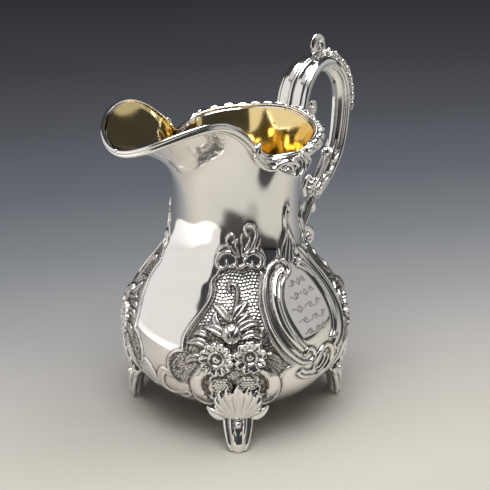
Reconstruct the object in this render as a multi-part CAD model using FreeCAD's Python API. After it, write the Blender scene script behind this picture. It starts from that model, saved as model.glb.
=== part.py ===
"""Silver cream jug: a pear-shaped raised body with a gilt inside, a cast scroll border round the mouth,
a cast double-scroll handle and four cast feet, all soldered together.

Millimetres. +Z is up and the origin is on the floor, under the body's axis. The spout points to -X and the
handle to +X, and the jug is the same on both sides of the XZ plane. An angle psi runs round the axis from
the spout (0) through the +Y side (90) to the handle (180).
"""
import FreeCAD, Part
import math
import os

V = FreeCAD.Vector

# ---- driving dimensions -------------------------------------------------------------------------------
BELLY_RADIUS = 47.8
BELLY_HEIGHT = 35.0
NECK_RADIUS = 27.4
NECK_HEIGHT = 85.0
BASE_RADIUS = 20.0
BASE_HEIGHT = 7.2
WALL = 0.75
GILT = 0.12
SOLDER_GAP = 0.01
BORDER_BITE = 0.7       # how far the border reaches in over the sheet, short of the gilt
RIM_RISE = 0.5          # how far the border's middle stands above the sheet's edge

# body profile below the neck, (radius, height), from the base's edge up
PROFILE = [
    (BASE_RADIUS, BASE_HEIGHT),
    (29.0, 9.4),
    (37.2, 14.6),
    (44.2, 23.0),
    (BELLY_RADIUS, BELLY_HEIGHT),
    (45.9, 48.0),
    (37.3, 62.0),
    (30.4, 72.5),
    (NECK_RADIUS, NECK_HEIGHT),
]
# the mouth's edge, (psi, radius, height): lip, shoulder, dip, side, back
MOUTH = [
    (0.0, 61.0, 126.0),
    (17.0, 56.0, 131.3),
    (36.0, 41.5, 134.2),
    (59.0, 27.9, 120.6),
    (80.0, 27.6, 115.3),
    (107.0, 31.6, 118.4),
    (142.0, 32.0, 121.4),
    (180.0, 31.0, 123.6),
]
FLARE_POINT = (0.24, 0.68)   # where the wall starts to flare, as shares of the way from neck to mouth

FOOT_ANGLES = (45.0, 135.0, 225.0, 315.0)
# foot leg sections: (distance from the axis, height, half width, half depth)
FOOT_LEG = [
    (39.0, 17.5, 7.2, 3.0),
    (41.8, 13.5, 6.4, 3.4),
    (43.2, 9.0, 5.7, 3.3),
    (43.2, 4.6, 5.1, 3.5),
    (42.4, 1.4, 4.5, 3.6),
    (42.2, 0.0, 3.4, 2.8),
]
# one side of the leaf's outline on the body, from the leg up to the tip: (half width, height)
FOOT_LEAF = [
    (4.6, 12.2),
    (8.4, 13.0),
    (11.8, 14.2),
    (12.2, 16.6),
    (9.6, 18.2),
    (8.4, 20.4),
    (7.4, 23.4),
    (5.2, 26.2),
    (2.6, 28.4),
    (0.0, 30.0),
]
FOOT_LEAF_THICK = 1.3

# handle sections in the XZ plane: (x, z, half depth in the plane, half width across it)
UPPER_ARM = [
    (33.2, 118.5, 3.2, 5.8),
    (35.4, 124.6, 3.8, 6.4),
    (37.2, 131.0, 4.0, 6.6),
    (40.4, 136.4, 4.0, 6.4),
    (45.4, 140.0, 3.8, 5.8),
    (51.6, 141.2, 3.4, 4.8),
]
BACK_ARM = [
    (51.6, 141.2, 3.2, 4.4),
    (59.4, 138.4, 3.6, 4.2),
    (65.0, 132.8, 4.0, 4.2),
    (67.4, 126.4, 4.2, 4.2),
    (68.0, 119.8, 4.3, 4.2),
    (67.6, 112.9, 4.3, 4.1),
    (66.6, 105.6, 4.2, 4.0),
    (64.6, 98.8, 4.0, 3.9),
    (60.8, 92.2, 3.7, 3.7),
    (55.2, 86.0, 3.2, 3.4),
    (49.0, 80.6, 2.5, 2.8),
]
INNER_CURL = [
    (51.4, 138.4, 0.9, 1.8),
    (47.6, 134.8, 1.1, 2.1),
    (44.6, 130.2, 1.2, 2.2),
    (43.1, 125.6, 1.2, 2.2),
    (43.6, 121.6, 1.1, 2.1),
    (44.8, 119.5, 1.1, 2.1),
    (46.8, 118.8, 1.0, 2.0),
    (48.7, 120.2, 1.0, 1.9),
    (49.0, 122.4, 0.9, 1.7),
]
FLOWER_STRIP = [
    (53.8, 145.2, 0.9, 2.2),
    (61.8, 142.8, 1.4, 2.9),
    (69.4, 136.2, 1.6, 3.2),
    (72.9, 127.8, 1.6, 3.2),
    (73.7, 119.8, 1.4, 2.8),
    (73.2, 111.6, 0.8, 1.8),
]
LOWER_SCROLL = [
    (49.8, 79.2, 1.6, 2.3),
    (47.0, 76.6, 1.7, 2.3),
    (45.2, 73.0, 1.6, 2.2),
    (42.8, 69.4, 1.6, 2.2),
    (39.0, 66.8, 1.7, 2.4),
    (33.4, 65.6, 2.0, 2.8),
]
TAIL_CURL = [
    (42.2, 67.8, 1.3, 1.8),
    (43.8, 64.6, 1.3, 1.7),
    (46.0, 62.2, 1.3, 1.6),
    (48.4, 61.2, 1.2, 1.5),
]
LOWER_LEAF = [
    (52.4, 87.2, 1.3, 2.0),
    (48.8, 88.2, 1.7, 2.6),
    (46.0, 86.2, 1.7, 2.6),
    (45.0, 83.2, 1.2, 1.9),
]
THUMB_BUD = [
    (51.4, 144.0, 2.1, 2.3),
    (51.3, 146.6, 3.2, 3.2),
    (51.3, 149.4, 2.9, 2.9),
    (51.4, 151.8, 1.0, 1.0),
]
INNER_KNOP = (58.6, 98.8, 2.6)            # x, z, radius
TAIL_BEAD = (49.4, 60.8, 2.6)             # x, z, radius

# border: (first psi, last psi, half width out of the wall, half height)
LIP_SPAN = (0.0, 62.0)
SCROLL_SPAN = (62.6, 112.0)
BACK_SPAN = (139.0, 180.0)
SHELL_SPAN = (112.6, 138.4)
LIP_HALF = (1.5, 1.9)
SCROLL_HALF = (1.7, 2.1)
SHELL_HALF = (2.3, 3.6)
BACK_HALF = (1.7, 2.0)


# ---- curves -------------------------------------------------------------------------------------------
def spline(xs, ys, flat_ends=False):
    """A cubic spline through the points with a continuous second derivative, as a function of x."""
    n = len(xs)
    h = [xs[i + 1] - xs[i] for i in range(n - 1)]
    low, mid, top, rhs = [0.0] * n, [1.0] * n, [0.0] * n, [0.0] * n
    for i in range(1, n - 1):
        low[i], mid[i], top[i] = h[i - 1], 2 * (h[i - 1] + h[i]), h[i]
        rhs[i] = 6 * ((ys[i + 1] - ys[i]) / h[i] - (ys[i] - ys[i - 1]) / h[i - 1])
    if flat_ends:
        mid[0], top[0], rhs[0] = 2 * h[0], h[0], 6 * (ys[1] - ys[0]) / h[0]
        low[-1], mid[-1], rhs[-1] = h[-1], 2 * h[-1], -6 * (ys[-1] - ys[-2]) / h[-1]
    for i in range(1, n):
        share = low[i] / mid[i - 1]
        mid[i] -= share * top[i - 1]
        rhs[i] -= share * rhs[i - 1]
    m = [0.0] * n
    m[-1] = rhs[-1] / mid[-1]
    for i in range(n - 2, -1, -1):
        m[i] = (rhs[i] - top[i] * m[i + 1]) / mid[i]

    def value(x):
        i = max(0, min(n - 2, sum(1 for k in xs[1:-1] if k <= x)))
        a, b = (xs[i + 1] - x) / h[i], (x - xs[i]) / h[i]
        bend = ((a**3 - a) * m[i] + (b**3 - b) * m[i + 1]) * h[i] ** 2 / 6
        return a * ys[i] + b * ys[i + 1] + bend

    return value


mouth_radius = spline([m[0] for m in MOUTH], [m[1] for m in MOUTH], flat_ends=True)
mouth_height = spline([m[0] for m in MOUTH], [m[2] for m in MOUTH], flat_ends=True)


def fold(psi):
    """psi brought to 0..180: the two sides are alike."""
    psi = psi % 360.0
    return 360.0 - psi if psi > 180.0 else psi


def meridian(psi):
    """The outer wall's line at angle psi, as a function of 0..1 giving (radius, height)."""
    r_mouth, z_mouth = mouth_radius(fold(psi)), mouth_height(fold(psi))
    flare = (
        NECK_RADIUS + FLARE_POINT[0] * (r_mouth - NECK_RADIUS),
        NECK_HEIGHT + FLARE_POINT[1] * (z_mouth - NECK_HEIGHT),
    )
    points = PROFILE + [flare, (r_mouth, z_mouth)]
    along = [0.0]
    for a, b in zip(points, points[1:]):
        along.append(along[-1] + math.hypot(b[0] - a[0], b[1] - a[1]))
    along = [s / along[-1] for s in along]
    r_line = spline(along, [p[0] for p in points])
    z_line = spline(along, [p[1] for p in points])
    return lambda s: (r_line(s), z_line(s))


def place(psi, r, z):
    a = math.radians(180.0 - psi)
    return V(r * math.cos(a), r * math.sin(a), z)


def wall_grid(depth, columns=60, rows=34):
    """Points of the wall, moved inwards by depth, column by column round the axis."""
    step = 1e-3
    grid = []
    for i in range(columns + 1):
        psi = 180.0 - 360.0 * i / columns
        line, left, right = meridian(psi), meridian(psi - 0.5), meridian(psi + 0.5)
        column = []
        for j in range(rows + 1):
            s = j / rows
            here = place(psi, *line(s))
            up = place(psi, *line(min(1.0, s + step))) - place(psi, *line(max(0.0, s - step)))
            across = place(psi + 0.5, *right(s)) - place(psi - 0.5, *left(s))
            column.append(here - up.cross(across).normalize() * depth)
        grid.append(column)
    return grid


def wall_face(depth):
    surface = Part.BSplineSurface()
    surface.interpolate(wall_grid(depth))
    return surface.toShape()


def sewn(faces):
    shell = Part.Shell(faces)
    shell.sewShape()
    return outward(Part.Solid(shell))


def outward(solid):
    """The solid with its faces pointing out, so that its volume is positive."""
    if solid.Volume < 0:
        solid.reverse()
    return solid


def ring_edges(face):
    """The two edges of a wall face that run round the axis, lower one first."""
    round_axis = sorted(face.Edges, key=lambda e: e.Length)[-4:]
    flat = [e for e in round_axis if e.firstVertex().Point.distanceToPoint(e.lastVertex().Point) < 0.01]
    return sorted(flat, key=lambda e: e.CenterOfMass.z)


def wall_solid(depth_out, depth_in):
    """The solid between the wall moved inwards by one depth and by another."""
    outer, inner = wall_face(depth_out), wall_face(depth_in)
    (low_out, top_out), (low_in, top_in) = ring_edges(outer), ring_edges(inner)
    rings = [Part.makeRuledSurface(low_out, low_in), Part.makeRuledSurface(top_out, top_in)]
    return sewn([outer, inner] + rings)


def base_plate(depth_out, depth_in):
    """The round plate that closes the wall's lower edge, between the same two depths, with a solder gap."""
    rims = []
    for depth in (depth_out, depth_in):
        point = wall_grid(depth, columns=1)[0][0]
        rims.append((math.hypot(point.x, point.y) - SOLDER_GAP, point.z))
    (r_low, z_low), (r_top, z_top) = rims
    return Part.makeCone(r_low, r_top, z_top - z_low, V(0, 0, z_low))


def filled_body():
    """The body as one full solid up to the neck, for trimming the feet against."""
    line = meridian(90.0)
    neck_share = next(k / 200.0 for k in range(200) if line(k / 200.0)[1] >= NECK_HEIGHT)
    points = [V(r, 0, z) for r, z in (line(neck_share * k / 24.0) for k in range(25))]
    edge = Part.BSplineCurve()
    edge.interpolate(points)
    low, high = V(0, 0, points[0].z), V(0, 0, points[-1].z)
    outline = [edge.toShape(), Part.makeLine(points[-1], high), Part.makeLine(high, low),
               Part.makeLine(low, points[0])]
    return Part.Face(Part.Wire(outline)).revolve(V(), V(0, 0, 1), 360)


# ---- sections and bars --------------------------------------------------------------------------------
def oval(centre, first, a, second, b, count=16):
    """A ring of points; it always starts along first, so that a bar through several doesn't twist."""
    turns = [2 * math.pi * k / count for k in range(count)]
    return [centre + first * (a * math.cos(t)) + second * (b * math.sin(t)) for t in turns]


def loft(rings):
    """A solid through a few rings of points, one after another, with flat ends."""
    wires = []
    for ring in rings:
        curve = Part.BSplineCurve()
        curve.interpolate(Points=ring, PeriodicFlag=True)
        wires.append(Part.Wire(curve.toShape()))
    return outward(Part.makeLoft(wires, True, False))


def long_bar(rings):
    """The same for many rings, where a loft would lose its way: one surface through all the points."""
    surface = Part.BSplineSurface()
    surface.interpolate([ring + ring[:1] for ring in rings])
    side = surface.toShape()
    ends = [Part.Face(Part.Wire([edge])) for edge in side.Edges if edge.isClosed()]
    return sewn([side] + ends)


def planar_arm(stations, spans=3):
    """A tapered bar along a smooth line through (x, z, half depth, half width) stations in the XZ plane."""
    along = [0.0]
    for a, b in zip(stations, stations[1:]):
        along.append(along[-1] + math.hypot(b[0] - a[0], b[1] - a[1]))
    x, z, depth, width = (spline(along, [station[k] for station in stations]) for k in range(4))
    count = spans * (len(stations) - 1)
    step = along[-1] * 1e-3
    rings = []
    for k in range(count + 1):
        s = along[-1] * k / count
        ahead, behind = min(s + step, along[-1]), max(s - step, 0.0)
        forward = V(x(ahead) - x(behind), 0, z(ahead) - z(behind)).normalize()
        rings.append(oval(V(x(s), 0, z(s)), V(0, 1, 0).cross(forward), depth(s), V(0, 1, 0), width(s)))
    return loft(rings)


def border_bar(first_psi, last_psi, half_out, half_up, count):
    """A bar that follows the mouth's edge from one angle to another."""
    rings = []
    for k in range(count):
        psi = first_psi + (last_psi - first_psi) * k / (count - 1)
        here, ahead, behind = mouth_point(psi), mouth_point(psi + 0.5), mouth_point(psi - 0.5)
        along = (ahead - behind).normalize()
        up = here - place(psi, *meridian(psi)(0.99))
        out = up.cross(along).normalize()
        level = along.cross(out)
        centre = here + level * RIM_RISE + out * (half_out - BORDER_BITE)
        rings.append(oval(centre, out, half_out, level, half_up))
    return long_bar(rings)


def mouth_point(psi):
    return place(psi, mouth_radius(fold(psi)), mouth_height(fold(psi)))


# ---- pieces -------------------------------------------------------------------------------------------
def body_pieces():
    lining_wall = wall_solid(WALL, WALL + GILT)
    lining_floor = base_plate(WALL, WALL + GILT)
    return {
        "body_shell": wall_solid(0.0, WALL),
        "base_disc": base_plate(0.0, WALL),
        "gilt_lining": Part.Compound([lining_wall, lining_floor]),
    }


def border_pieces():
    """The border round the mouth, in the lengths in which it is cast and soldered on."""
    return {
        "lip_moulding": border_bar(-LIP_SPAN[1], LIP_SPAN[1], *LIP_HALF, count=23),
        "rim_scroll_right": border_bar(*SCROLL_SPAN, *SCROLL_HALF, count=11),
        "rim_shell_right": border_bar(*SHELL_SPAN, *SHELL_HALF, count=7),
        "rim_back_scroll": border_bar(BACK_SPAN[0], 360.0 - BACK_SPAN[0], *BACK_HALF, count=13),
    }


def ball(x, z, radius):
    return Part.makeSphere(radius, V(x, 0, z))


def handle_pieces():
    return {
        "handle_upper_arm": planar_arm(UPPER_ARM),
        "handle_back_arm": planar_arm(BACK_ARM),
        "handle_inner_curl": planar_arm(INNER_CURL),
        "handle_lower_scroll": planar_arm(LOWER_SCROLL),
        "handle_tail_curl": planar_arm(TAIL_CURL),
        "handle_flower_strip": planar_arm(FLOWER_STRIP),
        "handle_thumb_bud": planar_arm(THUMB_BUD),
        "handle_inner_knop": ball(*INNER_KNOP),
        "handle_lower_leaf": planar_arm(LOWER_LEAF),
        "handle_tail_bead": ball(*TAIL_BEAD),
    }


def foot(body):
    """One cast foot on the +X side: a leaf that lies on the body and a leg that ends in a flat toe."""
    leg = loft([oval(V(r, 0, z), V(1, 0, 0), depth, V(0, 1, 0), width) for r, z, width, depth in FOOT_LEG])
    right = [V(0, width, z) for width, z in FOOT_LEAF]
    left = [V(0, -width, z) for width, z in FOOT_LEAF[-2::-1]]
    outline = right + left + right[:1]
    slab = Part.Face(Part.makePolygon(outline)).extrude(V(70, 0, 0))
    skin = body.makeOffsetShape(FOOT_LEAF_THICK, 0.01).common(slab)
    return leg.fuse(skin).cut(body).removeSplitter()


def foot_pieces():
    solid = foot(filled_body())
    names = {45.0: "foot_back_right", 135.0: "foot_front_right", 225.0: "foot_front_left",
             315.0: "foot_back_left"}
    made = {}
    for angle in FOOT_ANGLES:
        turned = solid.copy()
        turned.rotate(V(), V(0, 0, 1), angle)
        made[names[angle]] = turned
    return made


def trimmed(groups, body):
    """Every piece cut back to where the body and the pieces before it begin, as when they are fitted."""
    kept = {}
    for name, solid in groups.items():
        near = [t for t in [body, *kept.values()] if t.BoundBox.intersect(solid.BoundBox)]
        rest = solid.cut(near) if near else solid
        kept[name] = max(rest.Solids, key=lambda piece: piece.Volume)
    return kept


def main():
    os.makedirs("parts", exist_ok=True)
    pieces = body_pieces()
    pieces.update(trimmed({**border_pieces(), **handle_pieces()}, pieces["body_shell"]))
    for name in ("rim_scroll", "rim_shell"):
        pieces[f"{name}_left"] = pieces[f"{name}_right"].mirror(V(), V(0, 1, 0))
    pieces.update(foot_pieces())
    for name, solid in pieces.items():
        solid.exportStep(f"parts/{name}.step")
        print(f"{name:22s} solids {len(solid.Solids)} valid {solid.isValid()} volume {solid.Volume:9.2f}")


main()
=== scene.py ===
"""Silver cream jug: raised and chased body, gilt inside, cast border, handle and feet. Lengths below are in
millimetres, in the CAD frame (+Z up, spout towards -X, handle towards +X), and become metres when the meshes
are made."""
import math

import bpy
import numpy as np
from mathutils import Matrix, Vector


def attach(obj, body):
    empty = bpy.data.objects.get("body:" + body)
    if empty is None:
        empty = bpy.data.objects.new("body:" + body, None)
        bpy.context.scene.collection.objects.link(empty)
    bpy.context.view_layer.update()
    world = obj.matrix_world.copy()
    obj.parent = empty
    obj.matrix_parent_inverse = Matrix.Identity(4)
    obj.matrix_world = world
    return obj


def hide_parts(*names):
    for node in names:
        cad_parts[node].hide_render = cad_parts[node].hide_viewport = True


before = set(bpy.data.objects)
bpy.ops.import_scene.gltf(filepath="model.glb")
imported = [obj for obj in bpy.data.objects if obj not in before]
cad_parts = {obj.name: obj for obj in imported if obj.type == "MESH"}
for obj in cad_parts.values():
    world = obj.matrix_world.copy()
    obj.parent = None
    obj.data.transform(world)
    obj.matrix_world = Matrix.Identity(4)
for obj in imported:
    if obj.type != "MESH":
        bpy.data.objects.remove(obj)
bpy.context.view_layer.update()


MM = 0.001
rng = np.random.default_rng(1857)

# ---- the wall's shape, as in the CAD model
PROFILE = [(20.0, 7.2), (29.0, 9.4), (37.2, 14.6), (44.2, 23.0), (47.8, 35.0), (45.9, 48.0), (37.3, 62.0),
           (30.4, 72.5), (27.4, 85.0)]
NECK = PROFILE[-1]
FLARE = (0.24, 0.68)
MOUTH_PSI = [0.0, 17.0, 36.0, 59.0, 80.0, 107.0, 142.0, 180.0]
MOUTH_R = [61.0, 56.0, 41.5, 27.9, 27.6, 31.6, 32.0, 31.0]
MOUTH_Z = [126.0, 131.3, 134.2, 120.6, 115.3, 118.4, 121.4, 123.6]
LINING_DEPTH = 0.87


def spline(xs, ys, flat_ends=False):
    """A cubic spline with a continuous second derivative, as a function of an array."""
    xs, ys = np.asarray(xs, float), np.asarray(ys, float)
    n, h = len(xs), np.diff(xs)
    system, rhs = np.eye(n), np.zeros(n)
    for i in range(1, n - 1):
        system[i, i - 1:i + 2] = h[i - 1], 2 * (h[i - 1] + h[i]), h[i]
        rhs[i] = 6 * ((ys[i + 1] - ys[i]) / h[i] - (ys[i] - ys[i - 1]) / h[i - 1])
    if flat_ends:
        system[0, :2], rhs[0] = (2 * h[0], h[0]), 6 * (ys[1] - ys[0]) / h[0]
        system[-1, -2:], rhs[-1] = (h[-1], 2 * h[-1]), -6 * (ys[-1] - ys[-2]) / h[-1]
    m = np.linalg.solve(system, rhs)

    def value(x):
        x = np.asarray(x, float)
        i = np.clip(np.searchsorted(xs, x, side="right") - 1, 0, n - 2)
        a, b = (xs[i + 1] - x) / h[i], (x - xs[i]) / h[i]
        return a * ys[i] + b * ys[i + 1] + ((a**3 - a) * m[i] + (b**3 - b) * m[i + 1]) * h[i] ** 2 / 6

    return value


mouth_radius = spline(MOUTH_PSI, MOUTH_R, True)
mouth_height = spline(MOUTH_PSI, MOUTH_Z, True)


def fold(psi):
    psi = np.mod(psi, 360.0)
    return np.where(psi > 180.0, 360.0 - psi, psi)


def meridian(psi, shares):
    """Radius and height of the outer wall at angle psi from the spout, at shares 0..1 of its length."""
    r_mouth, z_mouth = float(mouth_radius(fold(psi))), float(mouth_height(fold(psi)))
    flare = (NECK[0] + FLARE[0] * (r_mouth - NECK[0]), NECK[1] + FLARE[1] * (z_mouth - NECK[1]))
    points = np.array(PROFILE + [flare, (r_mouth, z_mouth)])
    along = np.concatenate([[0], np.cumsum(np.hypot(*np.diff(points, axis=0).T))])
    along /= along[-1]
    return spline(along, points[:, 0])(shares), spline(along, points[:, 1])(shares)


def unit(v):
    return v / np.maximum(np.linalg.norm(v, axis=-1, keepdims=True), 1e-12)


def wall(columns, shares):
    """Points (column, row, xyz) of the wall, column i at azimuth 360 * i / columns, and outward normals."""
    points = np.zeros((columns, len(shares), 3))
    for i in range(columns):
        azimuth = 360.0 * i / columns
        r, z = meridian(180.0 - azimuth, shares)
        a = math.radians(azimuth)
        points[i] = np.stack([r * math.cos(a), r * math.sin(a), z], -1)
    return points, grid_normals(points)


def grid_normals(points):
    around = np.roll(points, -1, 0) - np.roll(points, 1, 0)
    return unit(np.cross(around, np.gradient(points, axis=1)))


# ---- the chased relief
COLUMNS, FINE_ROWS, TOP_ROWS, FINE_SHARE = 1040, 430, 60, 0.70
MEAN_RADIUS, DEEPEST = 42.0, -0.55
SHARES = np.append(np.linspace(0, FINE_SHARE, FINE_ROWS + 1), np.linspace(FINE_SHARE, 1, TOP_ROWS + 1)[1:])
wall_points, wall_normals = wall(COLUMNS, SHARES)
P = wall_points.reshape(-1, 3)
AZIMUTH = np.repeat(np.arange(COLUMNS) * 360.0 / COLUMNS, len(SHARES))
H = np.zeros(len(P))
# painted shade: how much the silver colour is darkened at each place, in hollows, cuts and on the matted
# ground
PAINTED_SHADE = np.zeros(len(P))


def spot(azimuth, z):
    """The wall's point and normal at an azimuth and a height."""
    i = int(round(azimuth / 360.0 * COLUMNS)) % COLUMNS
    row = np.interp(z, wall_points[i, :, 2], np.arange(len(SHARES)))
    j = min(int(row), len(SHARES) - 2)
    k = row - j
    r = math.hypot(*(wall_points[i, j, :2] * (1 - k) + wall_points[i, j + 1, :2] * k))
    a = math.radians(azimuth)
    turn = a - math.radians(i * 360.0 / COLUMNS)
    nx, ny, nz = wall_normals[i, j] * (1 - k) + wall_normals[i, j + 1] * k
    c, s = math.cos(turn), math.sin(turn)
    normal = np.array([nx * c - ny * s, nx * s + ny * c, nz])
    return np.array([r * math.cos(a), r * math.sin(a), z]), unit(normal)


def smooth_line(points, steps=7):
    """A smooth line through control points of any dimension."""
    points = np.asarray(points, float)
    if len(points) == 2:
        return points[0] + (points[1] - points[0]) * np.linspace(0, 1, steps + 1)[:, None]
    ends = [2 * points[0] - points[1], *points, 2 * points[-1] - points[-2]]
    out = []
    for a, b, c, d in zip(ends, ends[1:], ends[2:], ends[3:]):
        for t in np.arange(steps) / steps:
            bend, twist = 2 * a - 5 * b + 4 * c - d, 3 * b - a - 3 * c + d
            out.append(0.5 * (2 * b + (c - a) * t + bend * t**2 + twist * t**3))
    return np.array(out + [points[-1]])


def to_segments(here, line):
    """Distances from points to each segment of a line, and how far along the segment the nearest place is."""
    gap, step = here[:, None] - line[:-1], np.diff(line, axis=0)
    t = np.clip((gap * step).sum(-1) / np.maximum((step**2).sum(-1), 1e-9), 0, 1)
    return np.linalg.norm(gap - t[..., None] * step, axis=-1), t


class Side:
    """Draws on the wall with angles counted from a foot's azimuth, mirrored when turn is -1."""

    def __init__(self, azimuth, turn):
        self.azimuth, self.turn = azimuth, turn

    def degrees(self, azimuth):
        """Angles from the foot, -180 to 180."""
        return ((azimuth - self.azimuth) * self.turn + 180.0) % 360.0 - 180.0

    def place(self, points):
        return np.array([spot(self.azimuth + self.turn * a, z)[0] for a, z in points])

    def near_line(self, points, reach):
        """Vertices within reach of the line, as indices, distance, and share of the line's length."""
        line = self.place(smooth_line(points))
        low, high = line.min(0) - reach, line.max(0) + reach
        near = np.flatnonzero(((P > low) & (P < high)).all(1))
        distance, t = to_segments(P[near], line)
        best, rows = distance.argmin(1), np.arange(len(near))
        lengths = np.linalg.norm(np.diff(line, axis=0), axis=1)
        before = np.append(0, np.cumsum(lengths))
        share = (before[best] + t[rows, best] * lengths[best]) / before[-1]
        distance = distance[rows, best]
        keep = distance < reach
        return near[keep], distance[keep], share[keep]

    def ridge(self, points, half, height, power=0.6, taper=0.0):
        """A raised strand; half and height may be lists spread over its length."""
        half, height = np.atleast_1d(half).astype(float), np.atleast_1d(height).astype(float)
        near, d, share = self.near_line(points, half.max() * 1.05)
        w = np.interp(share, np.linspace(0, 1, len(half)), half)
        h = np.interp(share, np.linspace(0, 1, len(height)), height)
        if taper:
            w = w * np.clip(np.minimum(share, 1 - share) / taper, 0.12, 1) ** 0.5
        x = np.clip(d / w, 0, 1)
        H[near] = np.maximum(H[near], h * (1 - x * x) ** power * (x < 1) + np.where(x < 1, 0, -9))

    def groove(self, points, half, depth):
        near, d, _ = self.near_line(points, half * 2)
        H[near] -= depth * np.exp(-((d / half) ** 2) * 1.6)

    def engrave(self, points):
        near, d, _ = self.near_line(points, 0.5)
        H[near] -= 0.09 * np.exp(-((d / 0.13) ** 2) * 1.6)
        # painted shade along the cut line
        PAINTED_SHADE[near] = np.maximum(PAINTED_SHADE[near], 0.75 * np.exp(-((d / 0.2) ** 2)))

    def leaf(self, points, half, height):
        """A pointed leaf with raised edges and a cut vein."""
        near, d, share = self.near_line(points, half * 1.05)
        w = half * (np.sin(np.pi * np.clip(share * 0.92 + 0.06, 0, 1)) ** 0.75 + 0.02)
        x = np.clip(d / w, 0, 1)
        h = height * (0.35 + 0.65 * np.sin(np.pi * np.clip(share * 0.8 + 0.15, 0, 1)))
        form = h * ((1 - x**4) ** 0.6 * (0.72 + 0.28 * x) - 0.35 * np.exp(-((x / 0.22) ** 2)))
        H[near] = np.where(x < 1, np.maximum(H[near], form), H[near])

    def local(self, a, z, reach):
        """Vertices near a spot with their offsets from it, across (towards the plate) and up the wall."""
        centre, normal = spot(self.azimuth + self.turn * a, z)
        near = np.flatnonzero((np.abs(P - centre) < reach).all(1))
        across = unit(np.cross(np.array([0, 0, 1.0]), normal)) * self.turn
        up = unit(np.cross(across, normal)) * -self.turn
        gap = P[near] - centre
        return near, gap @ across, gap @ up

    def dome(self, a, z, rx, ry, height, tilt=0.0):
        near, u, v = self.local(a, z, max(rx, ry) * 1.2)
        c, s = math.cos(math.radians(tilt)), math.sin(math.radians(tilt))
        x = ((u * c + v * s) / rx) ** 2 + ((v * c - u * s) / ry) ** 2
        H[near] = np.where(x < 1, np.maximum(H[near], height * np.clip(1 - x, 0, 1) ** 0.5), H[near])

    def flower(self, a, z, radius, petals, height, spin=0.0, frilled=0.0):
        """An open flower: cupped petals round a raised ring, with a button sunk inside it."""
        near, u, v = self.local(a, z, radius * 1.3)
        r, angle = np.hypot(u, v) / radius, np.arctan2(v, u) + spin
        lobe = np.abs(np.cos(petals * angle / 2))
        edge = 0.86 + 0.14 * lobe**0.6 + frilled * 0.04 * np.cos(petals * angle * 1.5)
        x = r / edge
        rise = np.clip((x - 0.5) / 0.28, 0, 1)
        slit = np.clip(lobe / 0.36, 0, 1) ** 0.6
        petal = (0.42 + 0.58 * rise - 0.35 * np.clip((x - 0.86) / 0.14, 0, 1) ** 2) * (0.4 + 0.6 * slit)
        petal = petal - 0.24 * lobe**2 * np.sin(np.pi * np.clip((x - 0.5) / 0.42, 0, 1))
        ring = 0.55 * np.exp(-(((r - 0.42) / 0.07) ** 2))
        button = 0.4 * np.exp(-((r / 0.2) ** 4)) - 0.2 * np.exp(-((r / 0.07) ** 2))
        form = np.where(r < 0.5, np.maximum(np.maximum(ring, button), 0.16), petal)
        H[near] = np.where(x < 1, height * form, H[near])
        # painted shade in the slits between the petals and in the hollow round the button
        shade = 0.55 * (1 - slit) * (x > 0.5) + 0.5 * ((r > 0.24) & (r < 0.34))
        PAINTED_SHADE[near] = np.where(x < 1, shade, PAINTED_SHADE[near])

    def inside(self, outline):
        """Vertices inside an outline of (angle, height) points, as indices and distance from its edge."""
        outline = smooth_line(np.vstack([outline, outline[:1]]), 5)
        spread = np.stack([self.degrees(AZIMUTH), P[:, 2]], -1)
        near = np.flatnonzero(((spread > outline.min(0)) & (spread < outline.max(0))).all(1))
        x, y = spread[near].T
        count = np.zeros(len(near), int)
        for (x0, y0), (x1, y1) in zip(outline, outline[1:]):
            if y0 != y1:
                crosses = (y0 > y) != (y1 > y)
                count += crosses & (x < (x1 - x0) * (y - y0) / (y1 - y0) + x0)
        near = near[count % 2 == 1]
        scale = np.array([math.radians(1) * MEAN_RADIUS, 1.0])
        return near, to_segments(spread[near] * scale, outline * scale)[0].min(1)


# the outlines and lines of one quarter of the ornament: (degrees from the foot, height); strands add their
# half widths and heights
PANEL = [(-13, 72.6), (-17, 68.3), (-16.6, 65), (-18.5, 60.6), (-23, 55.3), (-27, 49), (-27.6, 43.6),
         (-34, 41), (-36, 36), (-34, 30), (-29, 27.5), (-20, 27), (-8, 26), (6, 26), (18, 28), (22, 34.5),
         (28, 36), (19.5, 44.2), (15.2, 52), (13.5, 60), (16, 67), (18, 71), (12.5, 73.4), (2, 73.3),
         (-6.5, 73.8)]
LEFT_EDGE = [(-13, 72.6), (-14.5, 70.6), (-17.5, 68.5), (-16.5, 65.4), (-17, 62.3), (-19.5, 59.1),
             (-23, 55.3), (-26, 51.6), (-27.5, 47.9), (-27.5, 43.1)]
RIGHT_EDGE = [(18, 70.9), (16, 67), (14, 63.2), (13.5, 59.6), (14.5, 55.1), (16, 49.8), (19.5, 44.2),
              (23, 40.1), (27.5, 36.1)]
TAIL = [(27.5, 36.1), (24, 35.5), (22, 34.1), (20.5, 31.4)]
LOBE = [(-27.5, 43.1), (-31, 42.4), (-34, 40), (-35.5, 37), (-35.5, 33.6), (-33.5, 30.3), (-30, 28.2)]
COMMA = [(-35.6, 31.2), (-38.5, 32), (-41, 29.9), (-43, 25.9), (-43, 22.2), (-40, 20), (-35, 20.4),
         (-31, 22.5)]
COMMA_TAIL = [(-44.4, 24.7), (-44, 19.5), (-39, 17.6), (-31.5, 17.6), (-25.5, 18.6)]
CLOVER = [(-31.5, 21), (-27.5, 23), (-26, 21.2), (-30.5, 18.6), (-33, 19.4)]
SCROLL_LEFT = [(-16, 39), (-20.5, 34.7), (-22.8, 29.9), (-23.5, 25), (-22.6, 19.9), (-19, 16.6),
               (-14.5, 17.3), (-12, 20.6), (-13.6, 22.6)]
HOLLOW_LEFT = [(-15.5, 34.3), (-17, 30.8), (-17, 26.9), (-15, 23.4)]
FRILL_LEFT = [(-11.5, 34.6), (-13.4, 32.6), (-12.6, 30.4), (-14, 28), (-13, 25.6), (-13.8, 23)]
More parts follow.
